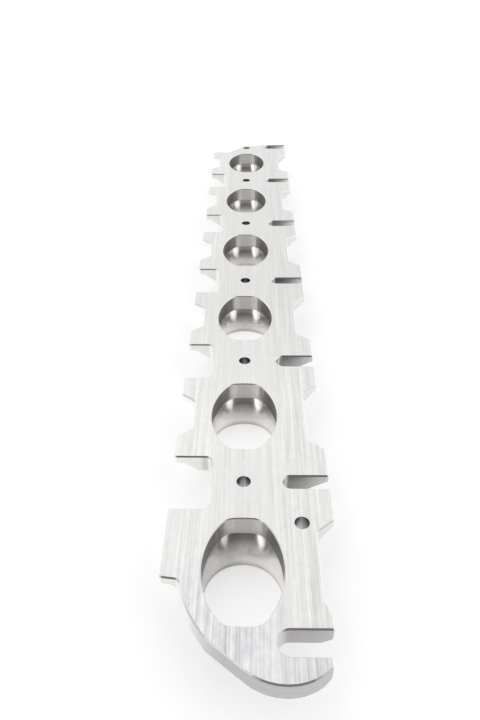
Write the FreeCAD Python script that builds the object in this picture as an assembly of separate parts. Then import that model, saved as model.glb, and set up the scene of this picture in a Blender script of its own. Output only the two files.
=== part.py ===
"""Intake side head flange of a straight-six engine, machined from one aluminium billet.

A plate with six oval ports in a row. Each port runs down into a short stub that narrows to a
round tube end. The face that seals on the cylinder head is on top, and the stubs point down.
Frame: the origin is the middle bolt hole's axis on the head face, +Y runs along the row of
ports, +X points to the side with the stud slots, and +Z leaves the head face. Millimetres.
"""
import FreeCAD, Part
import math
import os

from FreeCAD import Vector

# Row of ports and plate
PORT_COUNT = 6
PORT_PITCH = 91.0
PLATE_THICKNESS = 10.0
EDGE_CHAMFER = 0.6

# Oval port, straight through the plate, with round sides and nearly flat ends
PORT_HALF_WIDTH = 16.9
PORT_HALF_LENGTH = 24.6
PORT_SIDE_RADIUS = 35.5
PORT_END_RADIUS = 60.0
PORT_CORNER_RADIUS = 8.0
PORT_CHAMFER = 0.4

# Stub below each port, which is round at its lower end
STUB_LENGTH = 13.0
STUB_WALL = 2.1
STUB_SECTIONS = 6
RIM_CHAMFER = 0.3

# Right side: lugs with open stud slots, and a shallow waist beside each port
RIGHT_EDGE = 39.5
RIGHT_WAIST = 31.5
RIGHT_MOUTH_HALF = 24.1
RIGHT_FLOOR_HALF = 17.9
NARROW_SLOT_WIDTH = 7.2
WIDE_SLOT_WIDTH = 9.2
SLOT_END = 18.2

# Left side: lugs between deep gaps, and a notch beside each port
LEFT_EDGE = 33.5
LEFT_WAIST = 26.0
LEFT_MOUTH_HALF = 15.7
LEFT_FLOOR_HALF = 9.9
GAP_HALF = 15.3
GAP_FLOOR = 18.6
FIRST_GAP_FLOOR = 15.2

# Corner radii of the outline
LUG_CORNER = 1.5
WAIST_CORNER = 3.0
GAP_CORNER = 3.2
SLOT_CORNER = 0.8

# Near end: nose with its own slot, measured along Y from the first port's centre
NOSE_TIP = 46.1
NOSE_SLOT_CENTRE = 30.7
NOSE_SLOT_WIDTH = 10.0
NOSE_SLOT_END = 12.9
NOSE_SLOT_EDGE = 34.2
NOSE_SLANT = 38.0
NOSE_LEFT_RADIUS = 24.0
NOSE_RIGHT_RADIUS = 22.0
HOOK_EDGE = 32.5
HOOK_TIP = 3.7
HOOK_SLANT = 40.0
FLARE_START = 13.0
FLARE_END = 20.0
FLARE_RADIUS = 6.0

# Curved side between the first lug and the nose, measured the same way
FIRST_LUG_NEAR = 4.3
SIDE_ROOT_X = 25.5
SIDE_ROOT_Y = 5.3
SIDE_ROOT_RADIUS = 2.5
SIDE_BEND_X = 23.2
SIDE_BEND_Y = 16.3
SIDE_BEND_RADIUS = 42.0
SHOULDER_X = 14.2
SHOULDER_Y = 29.2
SHOULDER_RADIUS = 6.0

# Far end: arm behind the last slot and the wall round the end bolt hole
FAR_ARM = 3.0
FAR_STEP_X = 16.5
FAR_STEP_RUN = 7.0
END_HOLE_WALL = 6.0
FAR_ROOT_X = 17.4

# Bolt holes
BOLT_RADIUS = 3.3
END_HOLE_PITCH = 88.0
SIDE_HOLE_X = 25.3
SIDE_HOLE_BEYOND = 22.5

# Bevels under the lugs: where each starts, where its lip starts, and the lip's thickness
LEFT_BEVEL_START = 21.0
LEFT_LIP_START = 29.3
RIGHT_BEVEL_START = 28.5
RIGHT_LIP_START = 38.3
LIP_THICKNESS = 4.2

# How far cutting bodies stand past the part, and how close counts as touching
CLEAR = 1.0
TOUCH = 1e-6

# Places that follow from the sizes above
STUB_BOTTOM = -PLATE_THICKNESS - STUB_LENGTH
PORT_Y = [(i - (PORT_COUNT - 1) / 2) * PORT_PITCH for i in range(PORT_COUNT)]
BOLT_Y = [y + PORT_PITCH / 2 for y in PORT_Y]
END_HOLE_Y = BOLT_Y[-2] + END_HOLE_PITCH


def slot_width(index):
    """Every other stud slot is the wide one."""
    return WIDE_SLOT_WIDTH if index % 2 else NARROW_SLOT_WIDTH


def slot_corners(edge, end, y, width):
    """Corners of an open slot with a round end, met while going up the right side."""
    half = width / 2
    return [
        (edge, y - half, SLOT_CORNER),
        (end, y - half, half),
        (end, y + half, half),
        (edge, y + half, SLOT_CORNER),
    ]


def near_end():
    """Corners round the nose and its slot, from the left shoulder to the end of the flare."""
    y = PORT_Y[0]
    tip = y - NOSE_TIP
    slot_y = y - NOSE_SLOT_CENTRE
    slot_near = slot_y - NOSE_SLOT_WIDTH / 2
    hook_y = slot_near - HOOK_TIP
    left = (NOSE_TIP - SHOULDER_Y) / math.tan(math.radians(NOSE_SLANT)) - SHOULDER_X
    right = HOOK_EDGE - (hook_y - tip) / math.tan(math.radians(HOOK_SLANT))
    return [
        (-SHOULDER_X, y - SHOULDER_Y, SHOULDER_RADIUS),
        (left, tip, NOSE_LEFT_RADIUS),
        (right, tip, NOSE_RIGHT_RADIUS),
        (HOOK_EDGE, hook_y, LUG_CORNER),
        (HOOK_EDGE, slot_near, SLOT_CORNER),
        *slot_corners(NOSE_SLOT_EDGE, NOSE_SLOT_END, slot_y, NOSE_SLOT_WIDTH)[1:],
        (NOSE_SLOT_EDGE, y - FLARE_END, WAIST_CORNER),
        (RIGHT_WAIST, y - FLARE_START, FLARE_RADIUS),
    ]


def right_side():
    """Corners of the lugs, slots and waists, from the first port to the last."""
    corners = []
    for index, y in enumerate(PORT_Y):
        corners += [
            (RIGHT_WAIST, y + RIGHT_FLOOR_HALF, WAIST_CORNER),
            (RIGHT_EDGE, y + RIGHT_MOUTH_HALF, LUG_CORNER),
        ]
        corners += slot_corners(RIGHT_EDGE, SLOT_END, BOLT_Y[index], slot_width(index))
        if index < PORT_COUNT - 1:
            following = PORT_Y[index + 1]
            corners += [
                (RIGHT_EDGE, following - RIGHT_MOUTH_HALF, LUG_CORNER),
                (RIGHT_WAIST, following - RIGHT_FLOOR_HALF, WAIST_CORNER),
            ]
    return corners


def far_end():
    """Corners behind the last slot and round the end bolt hole."""
    back = BOLT_Y[-1] + slot_width(PORT_COUNT - 1) / 2 + FAR_ARM
    step = END_HOLE_Y + END_HOLE_WALL
    root_y = BOLT_Y[-1] - GAP_HALF
    # The slanted edge is tangent to the round wall about the end hole
    reach = math.hypot(FAR_ROOT_X, END_HOLE_Y - root_y)
    slant = math.atan2(END_HOLE_Y - root_y, FAR_ROOT_X) + math.asin(END_HOLE_WALL / reach)
    corner_x = -FAR_ROOT_X + (step - root_y) / math.tan(slant)
    return [
        (RIGHT_EDGE, back, LUG_CORNER),
        (FAR_STEP_X, back, WAIST_CORNER),
        (FAR_STEP_X - FAR_STEP_RUN, step, WAIST_CORNER),
        (corner_x, step, END_HOLE_WALL),
        (-FAR_ROOT_X, root_y, WAIST_CORNER),
    ]


def left_side():
    """Corners of the lugs, gaps and notches, from the last port back to the first."""
    corners = [(-LEFT_EDGE, BOLT_Y[-1] - GAP_HALF, LUG_CORNER)]
    for index in range(PORT_COUNT - 1, 0, -1):
        y = PORT_Y[index]
        gap = BOLT_Y[index - 1]
        floor = FIRST_GAP_FLOOR if index == 1 else GAP_FLOOR
        corners += [
            (-LEFT_EDGE, y + LEFT_MOUTH_HALF, LUG_CORNER),
            (-LEFT_WAIST, y + LEFT_FLOOR_HALF, WAIST_CORNER),
            (-LEFT_WAIST, y - LEFT_FLOOR_HALF, WAIST_CORNER),
            (-LEFT_EDGE, y - LEFT_MOUTH_HALF, LUG_CORNER),
            (-LEFT_EDGE, gap + GAP_HALF, LUG_CORNER),
            (-floor, gap + GAP_HALF, GAP_CORNER),
            (-floor, gap - GAP_HALF, GAP_CORNER),
            (-LEFT_EDGE, gap - GAP_HALF, LUG_CORNER),
        ]
    first = PORT_Y[0]
    corners += [
        (-LEFT_EDGE, first - FIRST_LUG_NEAR, LUG_CORNER),
        (-SIDE_ROOT_X, first - SIDE_ROOT_Y, SIDE_ROOT_RADIUS),
        (-SIDE_BEND_X, first - SIDE_BEND_Y, SIDE_BEND_RADIUS),
    ]
    return corners


def rounded_wire(corners):
    """A closed wire through the corners, each rounded by its own radius as far as its edges allow."""
    count = len(corners)
    points = [Vector(x, y, 0) for x, y, radius in corners]
    towards = [(points[(i + 1) % count] - points[i]).normalize() for i in range(count)]
    lengths = [points[i].distanceToPoint(points[(i + 1) % count]) for i in range(count)]
    halves = [(-towards[i - 1]).getAngle(towards[i]) / 2 for i in range(count)]
    runs = [corners[i][2] / math.tan(halves[i]) for i in range(count)]
    shares = [min(1, lengths[i] / (runs[i] + runs[(i + 1) % count])) for i in range(count)]
    arcs = []
    for i in range(count):
        run = runs[i] * min(shares[i - 1], shares[i])
        inward = (towards[i] - towards[i - 1]).normalize()
        depth = run * (1 / math.cos(halves[i]) - math.tan(halves[i]))
        first = points[i] - towards[i - 1] * run
        last = points[i] + towards[i] * run
        arcs.append(Part.Arc(first, points[i] + inward * depth, last))
    edges = []
    for i in range(count):
        edges.append(arcs[i].toShape())
        following = arcs[(i + 1) % count].StartPoint
        if arcs[i].EndPoint.distanceToPoint(following) > TOUCH:
            edges.append(Part.LineSegment(arcs[i].EndPoint, following).toShape())
    return Part.Wire(edges)


def flat_edges(shape, z):
    """The shape's edges that lie in the plane at height z."""
    return [e for e in shape.Edges if max(abs(e.BoundBox.ZMin - z), abs(e.BoundBox.ZMax - z)) < TOUCH]


def bevel_tool(side, start, lip):
    """A bar past both ends of the plate that takes the bevel off the underside of one side's lugs."""
    low = -PLATE_THICKNESS - CLEAR
    slope = (PLATE_THICKNESS - LIP_THICKNESS) / (lip - start)
    outer = RIGHT_EDGE + LEFT_EDGE
    near = PORT_Y[0] - PORT_PITCH
    far = PORT_Y[-1] + PORT_PITCH
    points = [
        Vector(side * (start - CLEAR / slope), near, low),
        Vector(side * lip, near, -LIP_THICKNESS),
        Vector(side * outer, near, -LIP_THICKNESS),
        Vector(side * outer, near, low),
    ]
    face = Part.Face(Part.makePolygon(points + points[:1]))
    return face.extrude(Vector(0, far - near, 0))


def plate_body():
    """The plate with its outline, edge chamfers and the bevels under its lugs."""
    corners = near_end() + right_side() + far_end() + left_side()
    face = Part.Face(rounded_wire(corners))
    plate = face.extrude(Vector(0, 0, -PLATE_THICKNESS))
    rims = flat_edges(plate, 0) + flat_edges(plate, -PLATE_THICKNESS)
    plate = plate.makeChamfer(EDGE_CHAMFER, rims)
    plate = plate.cut(bevel_tool(-1, LEFT_BEVEL_START, LEFT_LIP_START))
    return plate.cut(bevel_tool(1, RIGHT_BEVEL_START, RIGHT_LIP_START))


def oval_arcs():
    """Centre, radius and end directions in degrees of the eight smooth arcs round the oval."""
    side = PORT_HALF_WIDTH - PORT_SIDE_RADIUS
    end = PORT_HALF_LENGTH - PORT_END_RADIUS
    # The corner arc's centre lies where it touches both the side arc and the end arc
    to_side = PORT_SIDE_RADIUS - PORT_CORNER_RADIUS
    to_end = PORT_END_RADIUS - PORT_CORNER_RADIUS
    span = math.hypot(side, end)
    along = (to_side ** 2 - to_end ** 2 + span ** 2) / (2 * span)
    across = math.sqrt(to_side ** 2 - along ** 2)
    x = side - (side * along + end * across) / span
    y = (end * along - side * across) / span
    low = math.degrees(math.atan2(y, x - side))
    high = math.degrees(math.atan2(y - end, x))
    return [
        (side, 0, PORT_SIDE_RADIUS, -low, low),
        (x, y, PORT_CORNER_RADIUS, low, high),
        (0, end, PORT_END_RADIUS, high, 180 - high),
        (-x, y, PORT_CORNER_RADIUS, 180 - high, 180 - low),
        (-side, 0, PORT_SIDE_RADIUS, 180 - low, 180 + low),
        (-x, -y, PORT_CORNER_RADIUS, 180 + low, 180 + high),
        (0, -end, PORT_END_RADIUS, 180 + high, 360 - high),
        (x, -y, PORT_CORNER_RADIUS, 360 - high, 360 - low),
    ]


def port_section(share, wall, y, z):
    """A level outline between the stub's round end at share 0 and the oval port at share 1."""
    edges = []
    for centre_x, centre_y, radius, first, last in oval_arcs():
        centre = Vector(share * centre_x, y + share * centre_y, z)
        here = share * radius + (1 - share) * PORT_HALF_WIDTH + wall
        edges.append(Part.makeCircle(here, centre, Vector(0, 0, 1), first, last))
    return Part.Wire(edges)


def bell(wall, y):
    """A body that narrows from the oval to the round end, upright there and flared above it."""
    growth = PORT_HALF_LENGTH - PORT_HALF_WIDTH
    flare_radius = (growth ** 2 + STUB_LENGTH ** 2) / (2 * growth)
    full_turn = math.asin(STUB_LENGTH / flare_radius)
    wires = []
    for step in range(STUB_SECTIONS + 1):
        turn = full_turn * step / STUB_SECTIONS
        share = (1 - math.cos(turn)) / (1 - math.cos(full_turn))
        height = flare_radius * math.sin(turn)
        wires.append(port_section(share, wall, y, STUB_BOTTOM + height))
    return Part.makeLoft(wires, True, False)


def port_tool(y):
    """The oval port through the plate, widened by its edge chamfer at the head face."""
    outline = port_section(1, 0, y, -PLATE_THICKNESS)
    prism = Part.Face(outline).extrude(Vector(0, 0, PLATE_THICKNESS + CLEAR))
    low = port_section(1, 0, y, -PORT_CHAMFER)
    high = port_section(1, PORT_CHAMFER + CLEAR, y, CLEAR)
    return prism.fuse(Part.makeLoft([low, high], True, True))


def rim_tool(y):
    """The small chamfer inside the stub's round end."""
    height = RIM_CHAMFER + CLEAR
    base = Vector(0, y, STUB_BOTTOM - CLEAR)
    return Part.makeCone(PORT_HALF_WIDTH + height, PORT_HALF_WIDTH, height, base)


def bolt_tool(x, y):
    """A plain round hole through the plate."""
    depth = PLATE_THICKNESS + 2 * CLEAR
    return Part.makeCylinder(BOLT_RADIUS, depth, Vector(x, y, -PLATE_THICKNESS - CLEAR))


def flange():
    """The whole flange as one solid."""
    body = plate_body()
    for y in PORT_Y:
        body = body.fuse(bell(STUB_WALL, y))
    for y in PORT_Y:
        for tool in (port_tool(y), bell(0, y), rim_tool(y)):
            body = body.cut(tool)
    for y in BOLT_Y[:-1]:
        body = body.cut(bolt_tool(0, y))
    body = body.cut(bolt_tool(0, END_HOLE_Y))
    return body.cut(bolt_tool(SIDE_HOLE_X, PORT_Y[0] + SIDE_HOLE_BEYOND))


os.makedirs("parts", exist_ok=True)
shape = flange()
print("solids", len(shape.Solids), "valid", shape.isValid(), "volume cm3", round(shape.Volume / 1000, 2))
print("box", shape.BoundBox)
shape.Solids[0].exportStep("parts/manifold_flange.step")
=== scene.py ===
"""Looks for the machined inline-engine flange: camera, studio and procedural aluminium."""

import math

import bpy
from mathutils import Matrix, Vector


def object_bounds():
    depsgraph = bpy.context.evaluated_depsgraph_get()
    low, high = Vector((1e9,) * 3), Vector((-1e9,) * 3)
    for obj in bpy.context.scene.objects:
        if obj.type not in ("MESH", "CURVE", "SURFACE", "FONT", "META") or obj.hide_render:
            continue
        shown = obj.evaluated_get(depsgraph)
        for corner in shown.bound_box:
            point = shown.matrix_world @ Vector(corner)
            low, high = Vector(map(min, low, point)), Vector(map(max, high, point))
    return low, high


MM = 0.001

# places on the part, in millimetres: heights from the top face, then places along the row of ports
PLATE = 10.0
BEVEL_FOOT = -0.7
BELL_TOP = -PLATE - 0.05
STUB_TOP = -PLATE - 0.2
PITCH = 91.0
ROW_HALF = 240.0
FIRST_PORT_FAR_END = -200.0
NOSE_Y = -250.0
NOSE_SLOT_Y = -258.2

# how far the masks reach, in millimetres: half sizes across and along, circles as x, y and radius
PORT_HALVES = (17.6, 25.3)
# the patch of painted light on the paper inside each port
PORT_LIGHT_PATCH_HALVES = (20.0, 26.0)
ROW_HOLE_RADIUS = 3.9
END_HOLE = (0.0, 270.0, 4.2)
SIDE_HOLE = (25.3, -205.0, 4.0)
SLOT_HALF_WIDTH = 5.2
SLOT_END_X = 16.5
NOSE_SLOT_HALF_WIDTH = 5.3
NOSE_SLOT_END_X = 10.0

# how bright each bare wall is painted, with painted light on the left walls and painted shade on the stub
# walls below the plate, how much the level tool lines vary it, and the most for the flat faces
WALL = 0.53
LIT_LEFT_LUG_WALL = 0.72
LIT_LEFT_SIDE_WALL = 0.84
SHADED_STUB_WALL = 0.42
LINE_DEPTH = 0.26
SOFT_LINE_DEPTH = 0.20
FLAT_LIMIT = 0.985

# roughness off the flat faces
WALL_ROUGH = 0.32
PORT_ROUGH = 0.55
BEVEL_ROUGH = 0.30
FAR_BEVEL_ROUGH = 0.62

# colours
WHITE = (1, 1, 1, 1)
TOP_METAL = (1.0, 0.994, 0.986, 1)
NOSE_METAL = (0.99, 0.98, 1.0, 1)
WALL_METAL = (1.0, 0.982, 0.965, 1)
DIM_LIGHT = (1.0, 0.90, 0.86, 1)
PAPER = (0.90, 0.90, 0.90, 1)
PAPER_TO_CAMERA = (0.80, 0.80, 0.80, 1)

# the camera: place in millimetres, angles in degrees, lens in millimetres on a 36 mm side
EYE = (1.215, -374.686, 218.411)
EYE_TURN = 0.793
EYE_DOWN = 37.532
EYE_ROLL = -0.224
LENS = 31.110

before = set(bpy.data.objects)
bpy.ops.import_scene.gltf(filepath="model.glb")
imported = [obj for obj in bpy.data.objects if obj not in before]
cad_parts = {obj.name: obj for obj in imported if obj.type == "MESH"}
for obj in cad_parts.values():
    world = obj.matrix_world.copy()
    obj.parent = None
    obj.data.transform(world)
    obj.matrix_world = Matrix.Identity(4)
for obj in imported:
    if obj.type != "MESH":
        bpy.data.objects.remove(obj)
cad_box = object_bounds()
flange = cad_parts["manifold_flange"]
scene = bpy.context.scene


# node helpers
class Nodes:
    """Short calls for wiring one node tree."""

    def __init__(self, tree):
        self.tree = tree
        tree.nodes.clear()

    def add(self, kind, **settings):
        node = self.tree.nodes.new(kind)
        for key, value in settings.items():
            setattr(node, key, value)
        return node

    def link(self, output, socket):
        self.tree.links.new(output, socket)

    def put(self, socket, value):
        """Link a socket, or set its value."""
        if isinstance(value, bpy.types.NodeSocket):
            self.link(value, socket)
        else:
            socket.default_value = value

    def math(self, operation, a, b=None, c=None):
        node = self.add("ShaderNodeMath", operation=operation)
        for socket, value in zip(node.inputs, (a, b, c)):
            if value is not None:
                self.put(socket, value)
        return node.outputs[0]

    def plus(self, a, b):
        return self.math("ADD", a, b)

    def minus(self, a, b):
        return self.math("SUBTRACT", a, b)

    def times(self, a, b):
        return self.math("MULTIPLY", a, b)

    def times_plus(self, a, b, c):
        return self.math("MULTIPLY_ADD", a, b, c)

    def size(self, value):
        return self.math("ABSOLUTE", value)

    def under(self, value, limit):
        return self.math("LESS_THAN", value, limit)

    def over(self, value, limit):
        return self.math("GREATER_THAN", value, limit)

    def within(self, value, limit):
        """1 where the absolute value is under the limit."""
        return self.under(self.size(value), limit)

    def step(self, value, low, high):
        """0 at low, 1 at high, smooth between."""
        node = self.add("ShaderNodeMapRange", interpolation_type="SMOOTHSTEP")
        self.put(node.inputs["Value"], value)
        self.put(node.inputs["From Min"], low)
        self.put(node.inputs["From Max"], high)
        return node.outputs["Result"]

    def spread(self, value, low, high, to_low, to_high):
        """A straight map of low..high to to_low..to_high, clamped."""
        node = self.add("ShaderNodeMapRange")
        self.put(node.inputs["Value"], value)
        self.put(node.inputs["From Min"], low)
        self.put(node.inputs["From Max"], high)
        self.put(node.inputs["To Min"], to_low)
        self.put(node.inputs["To Max"], to_high)
        return node.outputs["Result"]

    def sway(self, noise, amount):
        """A noise's middle range as -amount..amount."""
        return self.spread(noise, 0.25, 0.75, -amount, amount)

    def vector(self, x, y, z):
        node = self.add("ShaderNodeCombineXYZ")
        for socket, value in zip(node.inputs, (x, y, z)):
            self.put(socket, value)
        return node.outputs[0]

    def noise(self, where, detail, roughness):
        node = self.add("ShaderNodeTexNoise")
        self.put(node.inputs["Vector"], where)
        self.put(node.inputs["Scale"], 1.0)
        self.put(node.inputs["Detail"], detail)
        self.put(node.inputs["Roughness"], roughness)
        return node.outputs["Fac"]

    def mix(self, share, a, b):
        """A blend of two colours."""
        node = self.add("ShaderNodeMix", data_type="RGBA")
        self.put(node.inputs[0], share)
        self.put(node.inputs[6], a)
        self.put(node.inputs[7], b)
        return node.outputs[2]

    def blend(self, share, a, b):
        """A blend of two numbers."""
        node = self.add("ShaderNodeMix", data_type="FLOAT")
        self.put(node.inputs[0], share)
        self.put(node.inputs[2], a)
        self.put(node.inputs[3], b)
        return node.outputs[0]

    def millimetres(self):
        """The point's x, y and z in the object's own frame."""
        xyz = self.add("ShaderNodeSeparateXYZ")
        self.put(xyz.inputs[0], self.add("ShaderNodeTexCoord").outputs["Object"])
        return [self.times(axis, 1 / MM) for axis in xyz.outputs]

    def in_ports(self, x, y, half_width, half_length):
        """1 inside an ellipse round the nearest port's centre."""
        along = self.math("PINGPONG", self.minus(y, PITCH / 2), PITCH / 2)
        wide = self.math("POWER", self.math("DIVIDE", x, half_width), 2.0)
        long = self.math("POWER", self.math("DIVIDE", along, half_length), 2.0)
        return self.under(self.plus(wide, long), 1.0)


# aluminium
class Features:
    """The point in millimetres, how its face is turned, and a mask of 0..1 for each kind of feature."""

    def __init__(self, n):
        x, y, z = n.millimetres()
        self.x, self.y, self.z = x, y, z
        facing = n.add("ShaderNodeSeparateXYZ")
        n.put(facing.inputs[0], n.add("ShaderNodeNewGeometry").outputs["True Normal"])
        sideways, backwards, up = facing.outputs
        self.across = n.size(sideways)
        self.away = n.step(backwards, -0.10, 0.20)
        self.leftward = n.step(sideways, -0.20, -0.60)
        self.flat = n.step(n.size(up), 0.9, 0.97)
        edge_band = n.times(n.over(z, BEVEL_FOOT), n.minus(1.0, self.flat))
        self.bevel = n.times(n.step(up, 0.30, 0.42), edge_band)

        def around(centre_x, centre_y, radius):
            """1 inside a circle."""
            dx, dy = n.minus(x, centre_x), n.minus(y, centre_y)
            return n.under(n.plus(n.times(dx, dx), n.times(dy, dy)), radius * radius)

        # bolt holes and stud slots lie at stations half a pitch from the port centres
        station = n.math("PINGPONG", y, PITCH / 2)
        self.reach = n.math("SQRT", n.plus(n.times(x, x), n.times(station, station)))
        self.in_row = n.within(y, ROW_HALF)
        row_hole = n.times(n.under(self.reach, ROW_HOLE_RADIUS), self.in_row)
        lone_hole = n.math("MAXIMUM", around(*END_HOLE), around(*SIDE_HOLE))
        self.in_hole = n.math("MAXIMUM", row_hole, lone_hole)
        slot_strip = n.times(n.under(station, SLOT_HALF_WIDTH), n.over(x, SLOT_END_X))
        self.in_slot = n.times(slot_strip, n.over(y, NOSE_Y))
        nose_strip = n.within(n.minus(y, NOSE_SLOT_Y), NOSE_SLOT_HALF_WIDTH)
        self.in_nose_slot = n.times(nose_strip, n.over(x, NOSE_SLOT_END_X))
        self.in_port = n.in_ports(x, y, *PORT_HALVES)
        self.bell = n.times(self.in_port, n.under(z, BELL_TOP))


def cutter_marks_and_painted_reflection(n, at):
    """Brightness and tint of the flat faces, with painted reflection by place and the two streak patterns
    that also make the bump.
    """
    x, y = at.x, at.y

    def streaks(x_rate, y_rate, seed, detail, roughness):
        """Noise drawn out along the part."""
        return n.noise(n.vector(n.times(x, x_rate), n.times(y, y_rate), seed), detail, roughness)

    # lengthwise passes of the cutter: broad, narrow and hairline, and a few bright ones
    wide = streaks(0.27, 0.008, 0.0, 2.0, 0.5)
    bands = streaks(0.80, 0.014, 2.0, 1.0, 0.5)
    fine = streaks(1.7, 0.035, 4.0, 1.5, 0.6)
    bright = n.step(streaks(1.1, 0.010, 9.0, 1.0, 0.5), 0.58, 0.68)
    passes = n.plus(n.plus(n.sway(wide, 1.5), n.sway(bands, 1.8)), n.sway(fine, 1.3))
    passes = n.plus(passes, n.times(bright, n.spread(x, 8.0, 20.0, 0.6, 1.5)))

    # faint rings round the bolt holes, and small patches everywhere
    skim = n.times(n.minus(1.0, n.step(at.reach, 11.2, 12.6)), at.in_row)
    rings = n.noise(n.vector(n.times(at.reach, 1.3), 0.0, 7.0), 2.0, 0.6)
    passes = n.blend(skim, passes, n.plus(n.times(passes, 0.55), n.sway(rings, 1.0)))
    passes = n.plus(passes, n.sway(streaks(0.35, 0.22, 6.0, 3.0, 0.6), 0.9))

    # painted reflection: the flat faces of the slot side, the nose and its hook are darker, the far half
    # darker and the left side lighter; the slot side, nose and hook are also more streaked and the far
    # half plainer
    slot_side = n.spread(x, 12.0, 20.0, 0.0, 1.0)
    hook = n.times(n.spread(y, -264.0, -250.0, 1.0, 0.0), slot_side)
    nose = n.times(n.spread(y, -250.0, -222.0, 1.0, 0.0), n.spread(x, 8.0, 16.0, 1.0, 0.0))
    left_strip = n.spread(n.size(n.plus(x, 21.0)), 5.0, 9.0, 0.014, 0.0)
    swing = n.plus(n.times_plus(slot_side, 0.018, 0.034), n.times(nose, 0.050))
    swing = n.times(n.times_plus(hook, 0.022, swing), n.spread(y, -200.0, -60.0, 1.0, 0.55))
    swing = n.plus(swing, left_strip)
    level = n.plus(n.spread(x, -20.0, -12.0, 0.862, 0.835), n.times(slot_side, -0.020))
    level = n.plus(level, n.times_plus(nose, -0.058, n.times(hook, -0.080)))
    level = n.plus(level, n.spread(y, -120.0, -30.0, 0.0, -0.068))

    brightness = n.math("MINIMUM", n.times_plus(passes, swing, level), FLAT_LIMIT)
    tint = n.mix(n.math("MAXIMUM", nose, hook), TOP_METAL, NOSE_METAL)
    return brightness, tint, bands, fine


def wall_tone_and_painted_shade(n, at, lines):
    """Brightness of the walls and edges with painted shade and painted reflections: the deeper and
    narrower a recess, the darker it is painted.
    """
    x, y, z, across = at.x, at.y, at.z, at.across

    # outer walls with painted light and shade: lighter on the left side and on the right past the nose,
    # darker towards the nose, and painted shade below the plate
    outer = n.times(n.times_plus(lines, LINE_DEPTH, WALL), n.spread(y, -250.0, -236.0, 0.82, 1.0))
    right_painted_light = n.spread(y, -240.0, -232.0, 1.0, 1.2)
    outer = n.times(outer, n.blend(n.over(x, 29.0), 1.0, right_painted_light))
    outer = n.blend(n.step(x, -19.0, -21.0), outer, n.times_plus(lines, LINE_DEPTH, LIT_LEFT_LUG_WALL))
    left_side = n.times(at.leftward, n.spread(y, -262.0, -244.0, 0.0, 1.0))
    outer = n.blend(left_side, outer, n.times_plus(lines, SOFT_LINE_DEPTH, LIT_LEFT_SIDE_WALL))
    outer = n.blend(n.under(z, STUB_TOP), outer, n.times_plus(lines, LINE_DEPTH, SHADED_STUB_WALL))

    # painted shade in the slots: lightest at their round ends and again towards their mouths, and lighter
    # in the far slots
    mouth = n.times(n.spread(x, 20.9, 38.0, 0.27, 0.60), n.spread(y, 0.0, 150.0, 1.0, 1.35))
    slot = n.blend(n.step(x, 19.6, 20.9), 0.62, mouth)
    nose_slot = n.blend(n.step(x, 13.6, 18.0), 0.74, n.spread(x, 18.0, 38.0, 0.48, 0.55))

    # holes have upright chatter marks, and painted light and shade: darker on their sideways faces and
    # near the top, lighter deeper down, and the end hole much lighter
    upright = n.noise(n.vector(n.times(x, 0.9), n.times(y, 0.9), 0.0), 2.0, 0.5)
    hole = n.times_plus(n.times(across, across), -0.30, 0.42)
    hole = n.times(hole, n.spread(z, -7.0, 0.0, 1.2, 0.7))
    hole = n.times(hole, n.spread(upright, 0.3, 0.7, 0.70, 1.35))
    hole = n.times(hole, n.spread(y, 240.0, 260.0, 1.0, 2.4))

    # ports with painted shade and reflections: dark flanks on the straight wall, faces turned away
    # painted light, a dark rim of painted shade on the bell, the bell's sides lighter, and the first
    # bell's left half painted dark
    port = n.times(n.spread(across, 0.02, 0.25, 0.76, 0.98), n.spread(across, 0.60, 0.90, 1.0, 0.34))
    port = n.times(n.blend(at.away, port, 0.95), n.spread(lines, 0.3, 0.7, 0.93, 1.06))
    bell = n.times(n.spread(z, -22.4, -19.8, 0.52, 0.78), n.spread(lines, 0.3, 0.7, 0.96, 1.04))
    bell = n.times(bell, n.spread(n.size(x), 4.0, 12.0, 1.0, 1.25))
    first_left_painted_shade = n.times(n.under(y, FIRST_PORT_FAR_END), n.spread(x, -6.0, 1.0, 1.0, 0.0))
    bell = n.times(bell, n.blend(first_left_painted_shade, 1.0, 0.72))

    # painted reflections on the bevels: those that face the viewer are dark lines, above all near the
    # nose, slanted and turned-away ones are light, and sideways ones darker
    bevel = n.blend(n.spread(across, 0.25, 0.50, 0.0, 1.0), n.spread(y, -90.0, 60.0, 0.42, 0.72), 0.95)
    bevel = n.times(n.blend(at.away, bevel, 0.95), n.spread(across, 0.82, 0.95, 1.0, 0.66))

    tone = n.blend(at.in_slot, outer, slot)
    tone = n.blend(at.in_nose_slot, tone, nose_slot)
    tone = n.blend(at.in_hole, tone, hole)
    tone = n.blend(at.in_port, tone, n.blend(at.bell, port, bell))
    return n.blend(at.bevel, tone, bevel)


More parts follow.
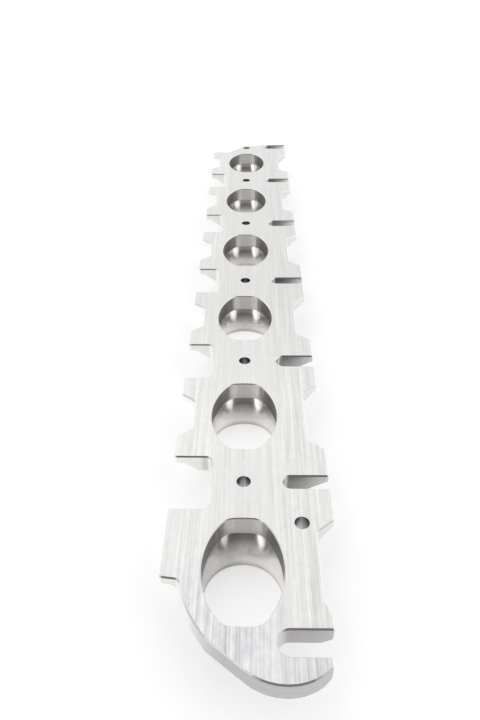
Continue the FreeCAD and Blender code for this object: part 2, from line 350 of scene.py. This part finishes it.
def aluminium():
    """Bare machined aluminium: milled flat faces, walls with level tool lines, and narrow bevels, all
    with painted light, shade and reflections.
    """
    material = bpy.data.materials.new("machined_aluminium_surface")
    material.use_nodes = True
    n = Nodes(material.node_tree)
    out = n.add("ShaderNodeOutputMaterial")
    shader = n.add("ShaderNodeBsdfPrincipled")
    n.link(shader.outputs[0], out.inputs[0])
    shader.inputs["Metallic"].default_value = 1.0
    shader.inputs["Anisotropic"].default_value = 0.6

    at = Features(n)
    pale, tint, bands, fine = cutter_marks_and_painted_reflection(n, at)
    lines_at = n.vector(n.times(at.x, 0.03), n.times(at.y, 0.03), n.times(at.z, 2.2))
    lines = n.noise(lines_at, 3.0, 0.6)

    colour = n.add("ShaderNodeVectorMath", operation="SCALE")
    n.put(colour.inputs[0], n.mix(at.flat, WALL_METAL, tint))
    n.put(colour.inputs["Scale"], n.blend(at.flat, wall_tone_and_painted_shade(n, at, lines), pale))
    n.put(shader.inputs["Base Color"], colour.outputs[0])

    port_rough = n.blend(at.bell, PORT_ROUGH, n.spread(at.z, -17.5, -12.5, 0.28, 0.22))
    rough = n.blend(at.in_port, WALL_ROUGH, port_rough)
    rough = n.blend(at.bevel, rough, n.blend(at.away, BEVEL_ROUGH, FAR_BEVEL_ROUGH))
    n.put(shader.inputs["Roughness"], n.blend(at.flat, rough, n.spread(bands, 0.3, 0.7, 0.31, 0.41)))

    # highlights stretch across the tool lines
    crosswise = n.add("ShaderNodeMix", data_type="VECTOR")
    n.put(crosswise.inputs[0], at.flat)
    n.put(crosswise.inputs[4], (0.0, 0.0, 1.0))
    n.put(crosswise.inputs[5], (1.0, 0.0, 0.0))
    n.put(shader.inputs["Tangent"], crosswise.outputs[1])

    bump = n.add("ShaderNodeBump")
    n.put(bump.inputs["Height"], n.blend(at.flat, lines, n.times_plus(bands, 2.0, fine)))
    bump.inputs["Strength"].default_value = 0.5
    bump.inputs["Distance"].default_value = 0.02 * MM
    n.link(bump.outputs[0], shader.inputs["Normal"])
    return material


# studio
def studio_world():
    """A white room behind the object, a light on each side, and a dim ceiling between them."""
    world = bpy.data.worlds.new("studio")
    scene.world = world
    world.use_nodes = True
    n = Nodes(world.node_tree)
    out = n.add("ShaderNodeOutputWorld")
    direction = n.add("ShaderNodeSeparateXYZ")
    n.put(direction.inputs[0], n.add("ShaderNodeTexCoord").outputs["Generated"])
    right, back, up = direction.outputs
    left = n.times(right, -1.0)
    # degrees above the horizon of the viewer's side
    rise = n.times(n.math("ARCTAN2", up, n.times(back, -1.0)), 180 / math.pi)

    # the ceiling is dimmest about 60 degrees up
    ceiling = n.plus(n.spread(rise, 5.0, 60.0, 0.60, 0.11), n.spread(rise, 64.0, 88.0, 0.0, 0.22))

    # a bright strip on the left, a broader and softer light on the right, wider apart towards the viewer
    left_past = n.minus(left, n.spread(rise, 35.0, 105.0, 0.57, 0.08))
    left_peak = n.plus(n.spread(rise, 15.0, 50.0, 0.75, 1.30), n.spread(rise, 50.0, 75.0, 0.0, 0.50))
    left_level = n.blend(n.step(left_past, 0.16, 0.34), left_peak, n.spread(left, 0.78, 0.94, 0.80, 0.45))
    light = n.blend(n.step(left_past, -0.04, 0.06), ceiling, left_level)
    right_past = n.minus(right, n.spread(rise, 35.0, 105.0, 0.61, 0.20))
    right_level = n.times(n.spread(rise, 25.0, 72.0, 0.60, 1.15), n.spread(right, 0.75, 0.95, 1.0, 0.6))
    light = n.blend(n.step(right_past, -0.06, 0.07), light, right_level)

    # behind the object all is white
    light = n.blend(n.step(back, 0.02, 0.42), light, 1.0)

    glow = n.add("ShaderNodeBackground")
    n.put(glow.inputs[0], n.mix(n.step(light, 0.10, 0.70), DIM_LIGHT, WHITE))
    n.put(glow.inputs[1], light)
    white = n.add("ShaderNodeBackground")
    white.inputs[0].default_value = WHITE
    white.inputs[1].default_value = 1.0
    pick = n.add("ShaderNodeMixShader")
    n.put(pick.inputs[0], n.add("ShaderNodeLightPath").outputs["Is Camera Ray"])
    n.link(glow.outputs[0], pick.inputs[1])
    n.link(white.outputs[0], pick.inputs[2])
    n.link(pick.outputs[0], out.inputs[0])


def floor():
    """White paper that keeps the shadow and is lifted towards white for the camera and in reflections."""
    half = 6.0
    level = cad_box[0][2]
    mesh = bpy.data.meshes.new("floor")
    corners = [(-half, -half, level), (half, -half, level), (half, half, level), (-half, half, level)]
    mesh.from_pydata(corners, [], [(0, 1, 2, 3)])
    sheet = bpy.data.objects.new("floor", mesh)
    scene.collection.objects.link(sheet)
    material = bpy.data.materials.new("floor_paper")
    material.use_nodes = True
    n = Nodes(material.node_tree)
    out = n.add("ShaderNodeOutputMaterial")
    path = n.add("ShaderNodeLightPath")
    to_camera, in_mirror = path.outputs["Is Camera Ray"], path.outputs["Is Glossy Ray"]
    paper = n.add("ShaderNodeBsdfDiffuse")
    n.put(paper.inputs["Color"], n.mix(to_camera, PAPER, PAPER_TO_CAMERA))

    # painted light: the paper seen inside the ports gets a touch more glow, more so towards the far end
    x, y, _ = n.millimetres()
    port_light_patch = n.times(n.in_ports(x, y, *PORT_LIGHT_PATCH_HALVES), n.within(y, ROW_HALF))
    seen = n.times_plus(port_light_patch, n.spread(y, -182.0, 45.0, 0.05, 0.18), 0.42)
    lift = n.add("ShaderNodeEmission")
    lift.inputs["Color"].default_value = WHITE
    n.put(lift.inputs["Strength"], n.plus(n.times(to_camera, seen), n.times(in_mirror, 0.38)))

    both = n.add("ShaderNodeAddShader")
    n.link(paper.outputs[0], both.inputs[0])
    n.link(lift.outputs[0], both.inputs[1])
    n.link(both.outputs[0], out.inputs[0])
    mesh.materials.append(material)


def camera():
    """The photograph's viewing angle."""
    data = bpy.data.cameras.new("camera")
    data.lens = LENS
    data.clip_start = 0.01
    data.clip_end = 50
    eye = bpy.data.objects.new("camera", data)
    scene.collection.objects.link(eye)
    eye.matrix_world = (
        Matrix.Translation(Vector(EYE) * MM)
        @ Matrix.Rotation(math.radians(EYE_TURN), 4, "Z")
        @ Matrix.Rotation(math.radians(90 - EYE_DOWN), 4, "X")
        @ Matrix.Rotation(math.radians(EYE_ROLL), 4, "Z")
    )
    scene.camera = eye


flange.material_slots[0].material = aluminium()
studio_world()
floor()
camera()
scene.view_settings.view_transform = "Standard"
